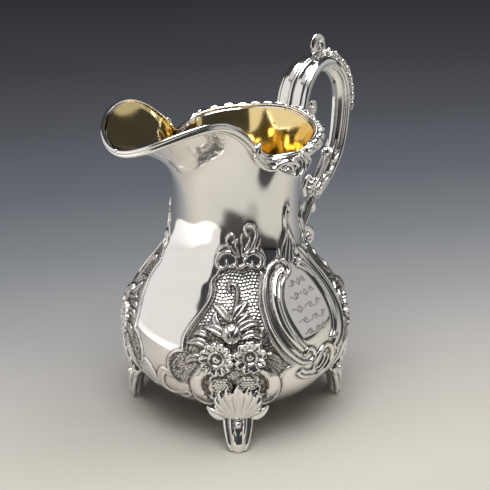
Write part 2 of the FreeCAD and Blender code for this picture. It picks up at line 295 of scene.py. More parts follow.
SCROLL_RIGHT = [(11.5, 39), (16.5, 36.1), (19.5, 31.8), (21, 27), (21, 21.9), (19, 17.8), (15.5, 16.4),
                (11.6, 18.8), (11.6, 22)]
HOLLOW_RIGHT = [(11, 34.9), (13, 31.5), (13.6, 27.5), (12.4, 23.9)]
FRILL_RIGHT = [(7, 34.9), (9.5, 33), (9, 30.6), (10.6, 28.6), (10.2, 26), (11.4, 23.4)]
STALK = [(-3.5, 55.6), (-2, 58.4), (-0.5, 61.6), (0, 64.6), (-1, 66.9), (-4, 67.7), (-6, 67), (-5, 65.8)]
LEAVES = [
    ([(-4, 55.5), (-7, 57.6), (-10, 59.5), (-14, 60.6)], 1.7, 1),
    ([(-3, 55.7), (0, 58.6), (3, 60.7), (6, 61.8)], 1.6, 1),
    ([(-5, 50), (-9, 51.8), (-13, 53), (-17.5, 53.2)], 1.9, 1.2),
    ([(-8, 52), (-11, 54.4), (-12.5, 56.4), (-12.5, 58.4)], 1.5, 1),
    ([(-14, 46), (-18, 47.6), (-21.5, 47.8), (-25, 46.6)], 1.8, 1.1),
    ([(-15, 50), (-18, 51), (-20.5, 51), (-22.5, 50)], 1.3, 0.9),
    ([(-16, 41), (-20, 41.6), (-23.5, 40.6), (-26, 38)], 1.7, 1),
    ([(-1, 52), (3, 54), (7, 55), (11, 54.2)], 1.8, 1.2),
    ([(1, 49.6), (5.5, 51.2), (8.5, 51), (11.6, 49.4)], 1.6, 1.1),
    ([(-1.5, 54), (0.5, 56), (3.5, 57.4), (6, 58.2)], 1.4, 0.9),
    ([(13, 43), (16, 42.4), (18.6, 41), (21, 38.8)], 1.3, 0.9),
    ([(11, 47), (13, 49.4), (13, 51.6), (12, 53)], 1.2, 0.8),
]
CREST = [
    ([(-1.5, 77.7), (-5.5, 79.3), (-10, 79.4), (-14, 78.1), (-15.5, 75.7), (-14, 73.6), (-10.5, 73),
      (-7.6, 74.4), (-8.4, 76.2)], [1, 1.5, 1.5, 1.2, 1], 1.2),
    ([(8, 77.5), (12.5, 79), (16.5, 78.2), (19.5, 76.3), (19, 74.2), (16, 73), (12.5, 73.6), (11.8, 75.6)],
      [1, 1.5, 1.5, 1.2, 1], 1.2),
    ([(-4, 81.6), (-9, 82), (-13, 80.9), (-16.5, 78.4)], [0.5, 0.8, 0.4], 0.7),
    ([(13, 81.4), (18, 80), (21.8, 76.9), (21, 74), (22.4, 71.6)], [0.4, 0.8, 0.8, 0.4], 0.7),
    ([(-6.5, 73.4), (-1.5, 74.6), (2, 73.6), (7.5, 74.7), (12, 73.3)], [0.6, 0.9, 0.6], 0.8),
    ([(-1.5, 77.7), (-0.4, 75.9), (-1.5, 74.4)], 0.6, 0.7),
    ([(8, 77.5), (5.6, 76), (7.5, 74.5)], 0.6, 0.7),
    ([(-0.5, 77.6), (-4, 80.1), (-7, 81.9), (-8, 84.6), (-5.5, 86.6), (-2.5, 86), (-1.6, 84), (-4, 83.2)],
      [1.2, 1, 0.8, 0.5], 1),
    ([(1.5, 77.6), (0.4, 80), (-1, 82.4), (0.6, 85)], [1, 0.9, 0.3], 0.9),
    ([(4.5, 77.7), (10, 79.5), (14, 82.6), (16, 85.9), (14.4, 89.3), (10, 90.6), (6.6, 89), (8, 86.6),
      (10.4, 87)], [1.4, 1.3, 1, 0.8, 0.5], 1.1),
    ([(3.5, 78.4), (8, 81.1), (10.6, 84), (10.4, 85.6)], [1.2, 1.1, 0.4], 1),
    ([(7, 78.2), (13, 80), (17.4, 82), (19.6, 84.6)], [0.9, 0.9, 0.2], 0.8),
    ([(4, 78.6), (4.6, 81.6), (3.6, 84.6), (4.6, 87)], [0.9, 0.8, 0.2], 0.9),
]
# the cartouche: its frame, the ribs inside it, the plate and the scrolls round it
FRAME_LEFT = [(37, 74), (28.5, 73.7), (22, 70.6), (18.2, 66.2), (16.5, 62.6), (16.5, 58), (17.5, 53.4),
              (20, 48.7), (23.5, 43.9), (28, 39.7), (33, 36.3), (37.5, 35.9), (40.4, 37.6), (39.4, 40.4),
              (36, 41.4), (34.6, 39.8)]
RIB_LEFT = [(34.5, 71.6), (26.8, 69.4), (22.7, 65.3), (21.2, 60.6), (21.7, 55.6), (23.7, 50.6),
            (27.2, 45.4), (31.6, 41)]
INNER_LEFT = [(38, 68.7), (31.5, 66.1), (28, 62.8), (26.5, 58.9), (27, 54.3), (29, 50), (32, 45.7),
              (35, 42.6)]
FRAME_RIGHT = [(52, 76.6), (61, 75.4), (66.5, 71.6), (69.6, 66), (71, 60), (71, 54), (70.4, 47.5),
               (68.6, 41), (65, 36.6), (60, 34.6), (56.4, 36.4), (57, 39.4), (60, 40)]
RIB_RIGHT = [(56, 73.2), (62, 70), (65.4, 64.9), (66.2, 59.4), (65.8, 54), (64.6, 48.3), (62.4, 42.8),
             (59.4, 40.4)]
INNER_RIGHT = [(50, 70.4), (55.4, 68.2), (59, 64.7), (60.4, 60), (60.2, 54.3), (58.8, 49.1), (56.6, 44.6),
               (53, 41.6)]
PLATE = [(34.6, 67.6), (29, 63), (27.6, 58.2), (29.5, 51), (34, 44.6), (38.5, 42.4), (44.5, 42.2),
         (52, 42.6), (57, 47.5), (59.2, 54.2), (59, 60.4), (55.4, 66.7), (48, 69.6), (41, 69.4)]
SHIELD_SCROLLS = [
    ([(36, 76.2), (38.5, 79.1), (42.5, 82), (45, 85.5), (44.4, 90), (45, 93.2), (47.6, 95), (50.4, 93.6),
      (49, 91.4)], [1.1, 1.2, 0.9, 0.8, 0.7], 1),
    ([(54, 74), (54.4, 77.6), (52.8, 80.4), (49.6, 83.4), (47.6, 86.6)], [1, 1, 0.7], 0.9),
    ([(39.5, 73.6), (42.6, 77.6), (45.6, 81.2), (46.8, 85)], [0.9, 0.9, 0.4], 0.9),
    ([(43.5, 72.8), (45.6, 75.9), (48, 79.3), (48, 82.6)], [0.9, 0.9, 0.4], 0.9),
    ([(47.5, 72), (49, 74.6), (51, 77.5), (50.4, 80.6)], [0.9, 0.9, 0.4], 0.9),
    ([(36, 71.1), (35, 69), (38.4, 68.2), (41, 70.2), (39.6, 72.8), (35.6, 74)], [1.1, 1.1, 1.1], 1.2),
    ([(50, 75), (54, 76), (56.6, 73.6), (55, 71), (51.4, 71), (50.4, 73)], [1.1, 1.1, 1.1], 1.2),
    ([(40.5, 34), (42.6, 37), (47, 39.4), (52, 38.6), (55, 35), (54.6, 30.6), (50, 27.6), (44.5, 27.4)],
      [1, 1.2, 1.2, 0.9], 1.1),
    ([(44, 28.8), (48, 30.2), (50.6, 33), (51.4, 36)], [0.9, 1, 0.5], 0.9),
    ([(43.4, 30.8), (46, 32.6), (47.6, 35), (47.8, 37.4)], [0.9, 0.9, 0.5], 0.9),
    ([(40.5, 33.8), (39.5, 31.2), (35.5, 31), (32.4, 32.9), (31, 31.6), (34, 29.2), (39.5, 27.6),
      (45, 26.8)], [0.9, 0.9, 0.8, 0.5], 0.9),
    ([(55.6, 33), (58.6, 30), (62.4, 31), (62, 34), (59.6, 34)], [0.9, 0.9, 0.6], 0.8),
]
# the size and relief of the ground's cells and of the berries
CELL_WIDE, CELL_HIGH, CELL_RELIEF, GROUND_DEPTH = 1.5, 1.25, 0.29, 0.42
BERRY_STEP, BERRY_RADIUS = (1.45, 1.25), 0.78


def scattered(a, b, seed):
    value = np.sin(a * 12.9898 + b * 78.233 + seed * 37.719) * 43758.5453
    return value - np.floor(value)


def matted_ground(side, outline):
    """Sinks the ground and covers it with small scales in uneven rows, with a cut line round each."""
    near, edge = side.inside(outline)
    radius = np.clip(np.hypot(P[near, 0], P[near, 1]), 34, 50)
    u, v = np.radians(side.degrees(AZIMUTH[near])) * radius, P[near, 2] * 1.12
    u, v = u + 0.25 * np.sin(v * 0.9), v + 0.25 * np.sin(u * 0.7)
    first, second, lean = np.full(len(near), 9.0), np.full(len(near), 9.0), np.zeros(len(near))
    for down in (-1, 0, 1):
        row = np.floor(v / CELL_HIGH) + down
        shift = 0.5 * np.mod(row, 2)
        for aside in (-1, 0, 1):
            column = np.floor(u / CELL_WIDE - shift) + aside
            x = u - (column + shift + 0.5 + 0.42 * (scattered(column, row, 1) - 0.5)) * CELL_WIDE
            y = v - (row + 0.5 + 0.42 * (scattered(column, row, 2) - 0.5)) * CELL_HIGH
            distance = np.hypot(x, y * 1.1)
            closer = distance < first
            second = np.where(closer, first, np.minimum(second, distance))
            lean = np.where(closer, -y / CELL_HIGH + 0.5 * (scattered(column, row, 3) - 0.5), lean)
            first = np.where(closer, distance, first)
    gap = second - first
    scale = np.clip(gap / 0.6, 0, 1) ** 0.6
    fade = np.clip(edge / 0.7, 0, 1)
    H[near] = fade * (-GROUND_DEPTH + CELL_RELIEF * scale * (0.75 + 0.8 * lean))
    # painted shade: the whole ground a little darker, and darker still along the cuts between the scales
    PAINTED_SHADE[near] = fade * (0.44 + 0.56 * np.clip(1 - gap / 0.5, 0, 1))


def between(first, second, weight=1):
    """The line between two lines; weight is the second one's share against the first one's 1."""
    return [((a + weight * c) / (1 + weight), (b + weight * d) / (1 + weight))
            for (a, b), (c, d) in zip(first, second)]


def draw_edges(side):
    """The ridges that bound the panel, with the lobe, comma and clover at its lower corner."""
    edges = ((LEFT_EDGE, 0.6, 0.45), (RIGHT_EDGE, 0.5, 0.4), (TAIL, 0.5, 0.35), (LOBE, 0.6, 0.5))
    for line, half, height in edges:
        side.ridge(line, half, height)
    side.ridge([(a + 2.1, z - 0.2) for a, z in LEFT_EDGE[1:]], 0.35, 0.2)
    side.groove([(a - 1.4, z) for a, z in LEFT_EDGE], 0.22, 0.16)
    side.groove([(a - 1.3, z) for a, z in LOBE[1:]], 0.25, 0.16)
    side.ridge([(-30, 39.5), (-32.4, 37), (-31.6, 34), (-28.6, 33.4), (-28, 35.6)], 0.5, 0.35)
    side.ridge(COMMA, [1.5, 1.9, 1.9, 1.5, 1.0, 0.5], [0.5, 0.9, 0.9, 0.7, 0.4])
    side.groove(COMMA, 0.42, 0.4)
    side.groove(COMMA_TAIL, 0.3, 0.2)
    side.ridge(CLOVER, 0.6, 0.35)


def draw_apron(side):
    """The two broad scrolls over the foot, on ground that is left smooth."""
    for a, z, reach in ((-18, 27, 5.2), (16.5, 27, 5.0)):
        near, u, v = side.local(a, z, 9)
        PAINTED_SHADE[near] = np.where(np.hypot(u, v * 0.7) < reach, 0.0, PAINTED_SHADE[near])
        H[near] = np.where(np.hypot(u, v * 0.7) < reach, np.maximum(H[near], -0.1), H[near])
    scrolls = ((SCROLL_LEFT, HOLLOW_LEFT, FRILL_LEFT), (SCROLL_RIGHT, HOLLOW_RIGHT, FRILL_RIGHT))
    for outer, hollow, frill in scrolls:
        side.ridge(between(outer[:6], smooth_line(hollow, 2)[:6]), [1.4, 2.8, 3.4, 3.4, 2.6, 1.3],
                   [0.8, 1.5, 1.6, 1.4, 0.7], power=0.45)
        side.ridge(outer, [0.6, 0.8, 0.9, 0.9, 0.9, 1.1], [0.7, 0.95, 0.95, 0.9, 0.8, 1.0])
        side.groove([(a * 1.035, z - 0.1) for a, z in outer[:7]], 0.3, 0.3)
        near, d, share = side.near_line(hollow, 2.2)
        dish = np.sin(np.pi * share) ** 0.6 * np.exp(-((d / 1.2) ** 2))
        H[near] -= 1.7 * dish
        # painted shade in the hollow of the scroll
        PAINTED_SHADE[near] = np.maximum(PAINTED_SHADE[near] * 0.2, 0.55 * dish**2)
        side.ridge(frill, 0.65, 0.75)


def draw_berries(side, a, z, wide, high):
    """A rounded heap of berries in a ring."""
    near, u, v = side.local(a, z, 6)
    heap = np.clip(1 - (u / wide) ** 2 - (v / high) ** 2, 0, 1)
    nearest = np.full(len(near), 9.0)
    for i in range(-3, 4):
        for j in range(-3, 4):
            x, y = (i + 0.5 * (j % 2)) * BERRY_STEP[0], j * BERRY_STEP[1]
            if (x / wide) ** 2 + (y / high) ** 2 < 0.9:
                nearest = np.minimum(nearest, np.hypot(u - x, v - y) / BERRY_RADIUS)
    berry = np.sqrt(np.clip(1 - nearest * nearest, 0, 1))
    H[near] = np.where(heap > 0, -0.15 + 0.35 * heap + 0.75 * berry, H[near])
    # painted shade in the gaps between the berries
    PAINTED_SHADE[near] = np.where(heap > 0, np.clip((nearest - 0.72) / 0.3, 0, 1), PAINTED_SHADE[near])
    around = np.linspace(0, 2 * math.pi, 13)
    ring_a, ring_z = np.degrees(wide * 1.14 * np.cos(around) / 45.0), high * 1.16 * np.sin(around) * 0.9
    side.ridge(np.stack([a + ring_a, z + ring_z], -1), 0.5, 0.7)


def draw_flowers(side):
    """Leaves and a stalk, the crest above the panel, then the bud and the two open flowers on top."""
    for line, half, height in LEAVES:
        side.leaf(line, half, height)
    side.ridge(STALK, [0.55, 0.7, 0.7, 0.6, 0.7], 0.75)
    for line, half, height in CREST:
        side.ridge(line, np.multiply(half, 0.66), np.multiply(height, 0.85), taper=0.1)
        side.groove(line, 0.16, 0.28)
    side.dome(-3.4, 51.4, 3.9, 4.2, 2.6, tilt=8)
    side.groove([(-6.4, 53.8), (-4.4, 50.6), (-4.2, 48.2)], 0.32, 0.5)
    side.groove([(-0.8, 53.6), (-2.2, 51.2), (-2.8, 49)], 0.32, 0.45)
    side.groove([(-5.6, 54.4), (-3.6, 53.2), (-1.6, 54.2)], 0.28, 0.35)
    side.dome(-0.4, 38.2, 1.3, 1.0, 0.9)
    side.flower(-10.4, 41.6, 7.0, 13, 2.0, spin=0.2)
    side.flower(5.6, 42.6, 6.7, 9, 2.0, spin=0.5, frilled=1.0)


def draw_quarter(side):
    """The panel over one foot."""
    matted_ground(side, PANEL)
    draw_edges(side)
    draw_apron(side)
    draw_berries(side, -8.2, 29.4, 3.6, 3.3)
    draw_berries(side, 4.6, 30.6, 3.4, 3.1)
    draw_flowers(side)


def draw_plate(side):
    """The cartouche between two panels."""
    near, edge = side.inside(FRAME_LEFT[:12] + FRAME_RIGHT[-4::-1])
    H[near] = np.where(edge > 0.5, 0.0, H[near])
    PAINTED_SHADE[near] = 0.0
    for outer, rib, inner in ((FRAME_LEFT, RIB_LEFT, INNER_LEFT), (FRAME_RIGHT, RIB_RIGHT, INNER_RIGHT)):
        side.ridge(between(rib, inner), [1.0, 1.9, 2.2, 2.3, 2.2, 1.9, 1.3, 0.8],
                   [0.5, 1.15, 1.3, 1.3, 1.2, 1.1, 0.8], power=0.5)
        side.ridge(outer, [0.7, 0.7, 0.75, 0.75, 0.8, 0.8, 1.1], [0.8, 0.8, 0.85, 0.9, 1.1])
        side.ridge(inner, 0.55, 0.65)
        side.groove(between(rib, inner, 2), 0.3, 0.35)
        side.groove(rib, 0.4, 0.35)
    for line, half, height in SHIELD_SCROLLS:
        side.ridge(line, half, height, taper=0.1)
        side.groove(line, 0.2, 0.28)
    near, edge = side.inside(PLATE)
    clear = np.clip((edge - 0.2) / 0.7, 0, 1)
    H[near] = H[near] * (1 - clear) + 0.12 * clear
    for k, (low, wide) in enumerate(((47.6, 8), (52.0, 11), (56.4, 12), (60.8, 11), (65.0, 8))):
        a0 = 44.0 + 0.6 * (k % 2)
        line = [(a0 + wide * t, low + 0.75 * math.sin(t * 7.0 + 1.1 * k) + 0.35 * math.sin(t * 17.0 + k))
                for t in np.linspace(-1, 1, 15)]
        side.engrave(line)
        for t in (-0.55, 0.15, 0.7):
            a, z, turns = a0 + wide * t, low + 0.2, np.linspace(0, 8, 11)
            shrink = 1 - turns / 14
            side.engrave(np.stack([a + 1.5 * np.cos(turns) * shrink, z + 1.1 * np.sin(turns) * shrink], -1))


for foot, turn in ((225, 1), (135, -1), (315, -1), (45, 1)):
    draw_quarter(Side(foot, turn))
for foot, turn in ((225, 1), (135, -1)):
    draw_plate(Side(foot, turn))


def blurred(values, times):
    for _ in range(times):
        values = (values + np.roll(values, 1, 0) + np.roll(values, -1, 0)) / 3
        padded = np.pad(values, ((0, 0), (1, 1)), mode="edge")
        values = (padded[:, :-2] + padded[:, 1:-1] + padded[:, 2:]) / 3
    return values


H = np.maximum(H, DEEPEST)
relief = blurred(H.reshape(COLUMNS, -1), 1) * 0.5 + H.reshape(COLUMNS, -1) * 0.5
dents = sum(0.02 * np.sin(P @ unit(rng.normal(size=3)) * 2 * math.pi / wave + rng.uniform(0, 6))
            for wave in (9.0, 13.0, 17.0, 23.0)).reshape(COLUMNS, -1)
# painted shade: the relief's hollows and the shade marks drawn above become the cavity that darkens the
# silver
cavity = np.clip((blurred(relief, 12) - relief) / 0.20, 0, 1)
cavity = np.clip(cavity + 0.85 * PAINTED_SHADE.reshape(COLUMNS, -1), 0, 1)
body_points = wall_points + wall_normals * (relief + dents)[..., None]
body_normals = grid_normals(body_points)


# ---- pieces
def new_object(name, data):
    thing = bpy.data.objects.new(name, data)
    bpy.context.scene.collection.objects.link(thing)
    return thing


def place_piece(name, mesh, material, nodes):
    """Shows a mesh as a piece of the jug that stands for some CAD nodes."""
    mesh.materials.clear()
    mesh.materials.append(material)
    mesh.shade_smooth()
    piece = new_object(name, mesh)
    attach(piece, "root")
    if nodes:
        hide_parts(*nodes)
    return piece


def store_cavity(mesh, values):
    mesh.attributes.new("cavity", "FLOAT", "POINT").data.foreach_set("value", values.astype(np.float32))


def grid_faces(columns, rows, closed=False, flip=False):
    i, j = np.meshgrid(np.arange(columns if closed else columns - 1), np.arange(rows - 1), indexing="ij")
    a, b = i * rows + j, ((i + 1) % columns) * rows + j
    quads = np.stack([a, b, b + 1, a + 1], -1).reshape(-1, 4)
    return quads[:, ::-1] if flip else quads


# ---- materials
CLOUD_TINT = (0.96, 0.955, 0.94)


def silver(name, base=(0.94, 0.925, 0.90), dark=(0.10, 0.085, 0.07), rough=0.07, shade_strength=1.0):
    """Polished metal: fine wipe marks, faint cloudiness, and painted shade that darkens the colour where the
    surface is hollow.
    """
    material = bpy.data.materials.new(name)
    material.use_nodes = True
    nodes, links = material.node_tree.nodes, material.node_tree.links
    shader = nodes["Principled BSDF"]
    shader.inputs["Metallic"].default_value = 1.0
    where = nodes.new("ShaderNodeTexCoord").outputs["Object"]

    def noise(scale, detail=3.0, roughness=0.55):
        node = nodes.new("ShaderNodeTexNoise")
        for key, value in (("Scale", scale), ("Detail", detail), ("Roughness", roughness)):
            node.inputs[key].default_value = value
        links.new(where, node.inputs["Vector"])
        return node.outputs["Fac"]

    def ranged(source, low, high, to_low, to_high):
        node = nodes.new("ShaderNodeMapRange")
        links.new(source, node.inputs["Value"])
        for key, value in zip(("From Min", "From Max", "To Min", "To Max"), (low, high, to_low, to_high)):
            node.inputs[key].default_value = value
        return node.outputs["Result"]

    def maths(kind, a, b):
        node = nodes.new("ShaderNodeMath")
        node.operation = kind
        node.use_clamp = True
        for socket, value in zip(node.inputs, (a, b)):
            if isinstance(value, float):
                socket.default_value = value
            else:
                links.new(value, socket)
        return node.outputs["Value"]

    hollow = nodes.new("ShaderNodeAttribute")
    hollow.attribute_name = "cavity"
    uneven = ranged(noise(900.0), 0.3, 0.7, 0.7, 1.15)
    # painted shade: the cavity attribute mixes the base colour towards the dark shade colour
    shade_amount = maths("MULTIPLY", maths("MULTIPLY", hollow.outputs["Fac"], uneven), shade_strength)
    cloud = ranged(noise(60.0, 4.0), 0.35, 0.7, 0.0, 1.0)
    clouded, darkened = nodes.new("ShaderNodeMix"), nodes.new("ShaderNodeMix")
    for mix, amount, colour in ((clouded, cloud, np.multiply(base, CLOUD_TINT)), (darkened, shade_amount, dark)):
        mix.data_type = "RGBA"
        links.new(amount, mix.inputs["Factor"])
        mix.inputs["B"].default_value = (*colour, 1)
    clouded.inputs["A"].default_value = (*base, 1)
    links.new(clouded.outputs["Result"], darkened.inputs["A"])
    links.new(darkened.outputs["Result"], shader.inputs["Base Color"])
    wiped = ranged(noise(220.0, 5.0, 0.7), 0.3, 0.75, rough * 0.75, rough * 1.5)
    links.new(maths("ADD", wiped, maths("MULTIPLY", shade_amount, 0.35)), shader.inputs["Roughness"])
    bump = nodes.new("ShaderNodeBump")
    bump.inputs["Strength"].default_value = 0.06
    bump.inputs["Distance"].default_value = 0.00006
    links.new(noise(1400.0, 2.0), bump.inputs["Height"])
    links.new(bump.outputs["Normal"], shader.inputs["Normal"])
    return material


SILVER = silver("silver_polished")
CAST = silver("silver_cast", rough=0.10)
GILT = silver("gilt", base=(0.97, 0.78, 0.38), dark=(0.30, 0.16, 0.03), rough=0.10, shade_strength=0.6)

# ---- body
for name, start, replaced in (("body_right", 0, ("body_shell",)), ("body_left", COLUMNS // 2, ())):
    index = np.arange(start, start + COLUMNS // 2 + 1) % COLUMNS
    mesh = bpy.data.meshes.new(name)
    faces = grid_faces(len(index), len(SHARES))
    mesh.from_pydata((body_points[index].reshape(-1, 3) * MM).tolist(), [], faces.tolist())
    store_cavity(mesh, cavity[index].ravel())
    place_piece(name, mesh, SILVER, replaced)
    mesh.normals_split_custom_set_from_vertices(body_normals[index].reshape(-1, 3).tolist())

LINING_COLUMNS, LINING_ROWS = 360, 181
lining_points, lining_normals = wall(LINING_COLUMNS, np.linspace(0, 1, LINING_ROWS))
lining = (lining_points - lining_normals * LINING_DEPTH).reshape(-1, 3)
lining_verts = np.vstack([lining, [[0, 0, lining[0, 2]]]])
starts = np.arange(LINING_COLUMNS) * LINING_ROWS
floor_fan = [[int(a), len(lining), int(b)] for a, b in zip(starts, np.roll(starts, -1))]
mesh = bpy.data.meshes.new("gilt_inside")
mesh.from_pydata((lining_verts * MM).tolist(), [],
                 grid_faces(LINING_COLUMNS, LINING_ROWS, True, True).tolist() + floor_fan)
place_piece("gilt_inside", mesh, GILT, ("gilt_lining",))

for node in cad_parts.values():
    node.data.materials.clear()
    node.data.materials.append(CAST)

# ---- castings
SIDES = 12
FINE, MEDIUM, COARSE = 0.18, 0.20, 0.24
FULL_HOLLOW = 0.16


def read_values(items, key, width=3, kind=float):
    values = np.empty(len(items) * width, kind)
    items.foreach_get(key, values)
    return values.reshape(-1, width)


def spread_over(values, count):
    """One value or a list of them, spread evenly over count places."""
    values = np.atleast_1d(values)
    return np.interp(np.linspace(0, 1, count), np.linspace(0, 1, len(values)), values)


class Casting:
    """Strands, leaves and beads that are melted together into one smooth cast piece."""

    def __init__(self):
        self.verts, self.faces = [], []

    def add(self, verts, faces):
        start = sum(len(v) for v in self.verts)
        self.verts.append(np.asarray(verts, float))
        self.faces += [[k + start for k in face] for face in faces]

    def add_tube(self, verts, rings, around):
        """Joins rings of vertices into a closed tube."""
        last = (rings - 1) * around
        faces = [list(range(around))[::-1], list(range(last, last + around))]
        for k in range(0, last, around):
            for s in range(around):
                t = (s + 1) % around
                faces.append([k + s, k + t, k + around + t, k + around + s])
        self.add(verts, faces)

    def strand(self, points, width, thick=None, facing=None):
        """A bar through the points; width and thick are its half sizes, across and along facing."""
        points = np.asarray(points, float)
        n = len(points)
        width = spread_over(width, n)
        thick = width if thick is None else spread_over(thick, n)
        facing = np.tile((0.0, 1.0, 0.0) if facing is None else facing, (n, 1))
        line = smooth_line(np.hstack([points, width[:, None], thick[:, None], facing]), 6)
        centre, width, thick, facing = line[:, :3], line[:, 3], line[:, 4], line[:, 5:]
        forward = unit(np.gradient(centre, axis=0))
        across = unit(np.cross(forward, facing))
        out = np.cross(across, forward)
        rings = []
        for k, grow in [(0, 0.0), (0, 0.7)] + [(k, 1.0) for k in range(len(centre))] + [(-1, 0.7), (-1, 0.0)]:
            push = 0.0 if grow == 1.0 else (0.85 if grow == 0.0 else 0.55) * min(width[k], thick[k])
            c = centre[k] + forward[k] * (push if k else -push)
            turn = np.linspace(0, 2 * math.pi, SIDES, endpoint=False)[:, None]
            grow = max(grow, 0.02)
            rings.append(c + grow * (across[k] * width[k] * np.cos(turn) + out[k] * thick[k] * np.sin(turn)))
        self.add_tube(np.vstack(rings), len(rings), SIDES)

    def bead(self, centre, radii, turn=None):
        """An egg; turn is a 3 x 3 matrix of its axes."""
        rings, around = 9, 14
        lat = np.linspace(math.pi - 0.08, 0.08, rings)
        lon = np.linspace(0, 2 * math.pi, around, endpoint=False)
        shape = np.stack([np.outer(np.sin(lat), np.cos(lon)), np.outer(np.sin(lat), np.sin(lon)),
                          np.outer(np.cos(lat), np.ones(around))], -1).reshape(-1, 3) * radii
        if turn is not None:
            shape = shape @ np.asarray(turn)
        self.add_tube(shape + np.asarray(centre, float), rings, around)

    def flower(self, centre, out, radius, petals=5, spin=0.0):
        """A small open flower that faces out."""
        out = unit(np.asarray(out, float))
        u = unit(np.cross(out, [0.13, 0.9, 0.31]))
        v = np.cross(out, u)
        self.bead(np.asarray(centre) + out * radius * 0.25, radius * 0.36)
        for k in range(petals):
            a = spin + 2 * math.pi * k / petals
            side = u * math.cos(a) + v * math.sin(a)
            self.bead(np.asarray(centre) + side * radius * 0.66, np.multiply(radius, (0.42, 0.36, 0.3)),
                      [side, np.cross(out, side), out])

    def build(self, name, node, voxel=FINE, smooth=2, flat_floor=False):
        """Melts the strands together, smooths them, and shows them in place of a CAD node."""
        mesh = bpy.data.meshes.new(name + "_strands")
        mesh.from_pydata((np.vstack(self.verts) * MM).tolist(), [], self.faces)
        rough = new_object(name + "_strands", mesh)
        melt = rough.modifiers.new("melt", "REMESH")
        melt.mode = "VOXEL"
        melt.voxel_size = voxel * MM
        graph = bpy.context.evaluated_depsgraph_get()
        cast = bpy.data.meshes.new_from_object(rough.evaluated_get(graph))
        bpy.data.objects.remove(rough)
        verts = read_values(cast.vertices, "co") / MM
        edges = read_values(cast.edges, "vertices", 2, int)
        count = np.bincount(edges.ravel(), minlength=len(verts))[:, None]

        def average(values):
            total = np.zeros_like(values)
            for axis in range(values.shape[1]):
                total[:, axis] = np.bincount(edges[:, 0], values[edges[:, 1], axis], len(verts))
                total[:, axis] += np.bincount(edges[:, 1], values[edges[:, 0], axis], len(verts))
            return total / np.maximum(count, 1)

        for _ in range(smooth):
            verts = verts * 0.4 + average(verts) * 0.6
        if flat_floor:
            verts[:, 2] = np.maximum(verts[:, 2], 0.0)
        cast.vertices.foreach_set("co", (verts * MM).ravel())
        cast.update()
        # painted shade: how far each vertex lies below its smoothed surroundings darkens the cast silver's
        # colour
        broad = verts
        for _ in range(9):
            broad = average(broad)
        hollow = ((broad - verts) * read_values(cast.vertex_normals, "vector")).sum(1)
        store_cavity(cast, np.clip(average(hollow[:, None])[:, 0] / FULL_HOLLOW, 0, 1))
        cast.name = name
        place_piece(name, cast, CAST, (node,))


# ---- border round the mouth
def mouth_frame(psi):
    """The mouth's edge at psi, with the directions out of the wall and up along it."""
    def point(angle):
        r, a = float(mouth_radius(fold(angle))), math.radians(180.0 - angle)
        return np.array([r * math.cos(a), r * math.sin(a), float(mouth_height(fold(angle)))])
    here = point(psi)
    along = unit(point(psi + 0.5) - point(psi - 0.5))
    r, z = meridian(psi, np.array([0.99]))
    a = math.radians(180.0 - psi)
    up = here - np.array([r[0] * math.cos(a), r[0] * math.sin(a), z[0]])
    out = unit(np.cross(up, along))
    return here, out, np.cross(along, out)


def on_border(points, turn=1):
    """Points (psi, out, up) beside the mouth's edge, on the +Y side or mirrored, in space."""
    placed = []
    for psi, outward, upward in points:
        here, out, up = mouth_frame(psi)
        placed.append((here + out * outward + up * upward) * [1, turn, 1])
    return np.array(placed)


def border_strand(casting, points, radii, turn=1):
    casting.strand(on_border(points, turn), radii)


LIP_END = 57.4
lip = Casting()
for outward, upward, radius in ((0.05, 1.45, 0.80), (0.95, 0.35, 1.15), (0.70, -1.35, 0.72)):
    border_strand(lip, [(psi, outward, upward) for psi in np.linspace(-LIP_END, LIP_END, 60)], radius)
lip.build("lip_reeds", "lip_moulding", COARSE, smooth=1)

